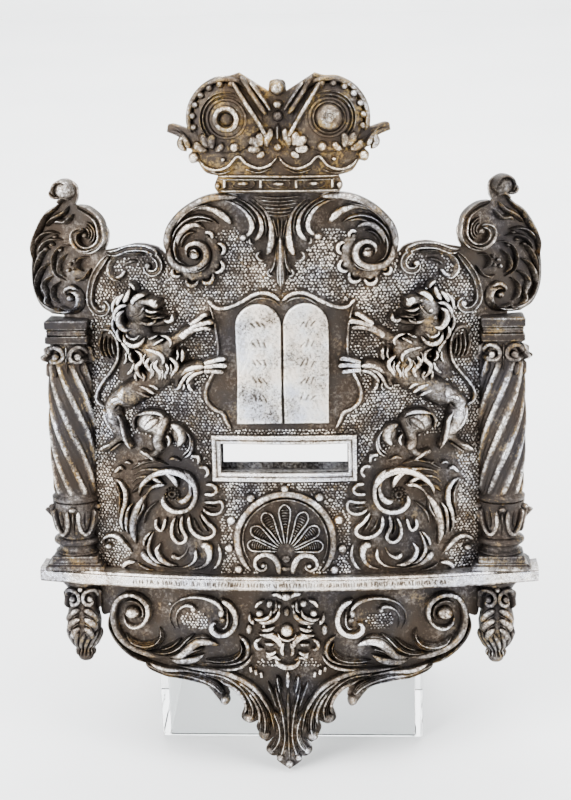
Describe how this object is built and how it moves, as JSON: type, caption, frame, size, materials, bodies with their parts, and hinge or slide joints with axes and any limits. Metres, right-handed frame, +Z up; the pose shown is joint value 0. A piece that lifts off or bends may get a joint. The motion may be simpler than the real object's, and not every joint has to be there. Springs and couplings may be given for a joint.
{
  "type": "torah shield",
  "caption": "Cast and chased silver torah shield with crown, columns, lions, tablets and plaque window, leaning on its clear box stand",
  "frame": {"origin": "middle of the footprint on the floor, under the middle of shield and stand together", "axes": "+Z up, the front of the shield faces -Y, +X to the viewer's right"},
  "size_m": [0.2604, 0.112, 0.3548],
  "materials": {
    "oxidised_silver": "chased silver, oxidised dark in the hollows and rubbed bright on the high parts",
    "crown_silver": "darker chased silver with worn gilding in the lines",
    "column_silver": "cast silver, dark between the ribs and leaves",
    "bright_silver": "rubbed bright silver",
    "tablet_silver": "plain polished silver with shallow engraved strokes",
    "dark_silver": "plain tarnished silver sheet",
    "clear_acrylic": "clear polished acrylic, see-through"
  },
  "bodies": {
    "root": {"shield_plate": "oxidised_silver", "crown": "crown_silver", "ledge": "bright_silver", "tablets": "tablet_silver", "window_frame": "bright_silver", "plaque_channel": "dark_silver", "column_left": "column_silver", "column_right": "column_silver", "pendant_left": "column_silver", "pendant_right": "column_silver", "clear_stand": "clear_acrylic"}
  },
  "joints": []
}
